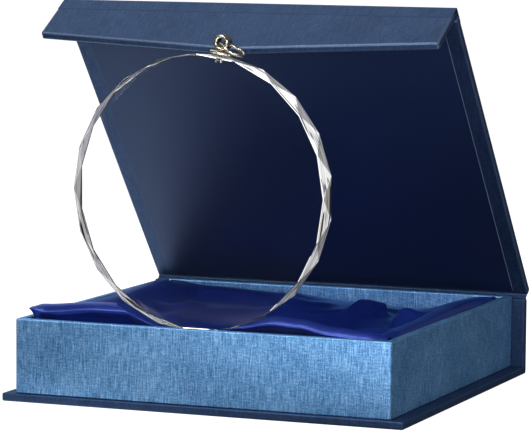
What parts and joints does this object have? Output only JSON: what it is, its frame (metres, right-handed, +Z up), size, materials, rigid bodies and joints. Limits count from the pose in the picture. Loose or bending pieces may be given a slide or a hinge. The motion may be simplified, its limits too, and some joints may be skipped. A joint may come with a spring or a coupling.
{
  "type": "cased medal",
  "caption": "Round faceted clear medal with a bail and jump ring, standing in a satin-lined book-style presentation box with hinged lid and front flap",
  "frame": {"origin": "middle of the base panel's underside, the face that the box stands on", "axes": "+Z up, the front with the tray's bright wall and the standing medal faces -Y, +X to the viewer's right; the lid hinges at +Y"},
  "size_m": [0.124, 0.1184, 0.1156],
  "materials": {
    "tray_paper": "pearlescent light blue linen-embossed paper",
    "cover_paper": "pearlescent dark navy linen-embossed paper",
    "lining_paper": "matt navy paper",
    "greyboard": "dense raw greyboard, inside the covering paper",
    "steel": "plated discs, hidden in the boards",
    "foam": "soft foam, hidden under the satin",
    "satin": "royal blue satin with a soft sheen",
    "crystal": "clear polished crystal",
    "champagne_metal": "polished champagne gold plating"
  },
  "bodies": {
    "case": {"base_board": "greyboard", "base_wrap": "cover_paper", "spine_board": "greyboard", "spine_wrap": "cover_paper", "hinge_lining": "lining_paper", "tray_floor": "greyboard", "tray_front_wall": "greyboard", "tray_rear_wall": "greyboard", "tray_left_wall": "greyboard", "tray_right_wall": "greyboard", "keeper_left": "steel", "keeper_right": "steel", "tray_wrap": "tray_paper", "foam_pad": "foam", "satin_lining": "satin"},
    "lid": {"lid_board": "greyboard", "lid_wrap": "cover_paper", "lid_liner": "lining_paper"},
    "flap": {"flap_board": "greyboard", "flap_wrap": "cover_paper", "flap_liner": "lining_paper", "magnet_left": "steel", "magnet_right": "steel"},
    "medal": {"crystal_disc": "crystal", "bail_cap": "champagne_metal", "bail_eye": "champagne_metal"},
    "ring": {"jump_ring": "champagne_metal"}
  },
  "joints": [
    {"name": "lid_hinge", "type": "hinge", "parent": "case", "child": "lid", "pos_m": [0, 0.05815, 0.024], "axis": [-1, 0, 0], "range_deg": [-2, 130.2]},
    {"name": "flap_hinge", "type": "hinge", "parent": "lid", "child": "flap", "pos_m": [0, -0.01547, 0.11569], "axis": [-1, 0, 0], "range_deg": [-10.2, 79.8]},
    {"name": "medal_lift", "type": "slide", "parent": "case", "child": "medal", "axis": [0, 0, 1], "range_m": [0, 0.12]},
    {"name": "ring_swing", "type": "hinge", "parent": "medal", "child": "ring", "pos_m": [0.0027, -0.04706, 0.10562], "axis": [-0.0698, -0.9976, 0], "range_deg": [0, 224]}
  ]
}
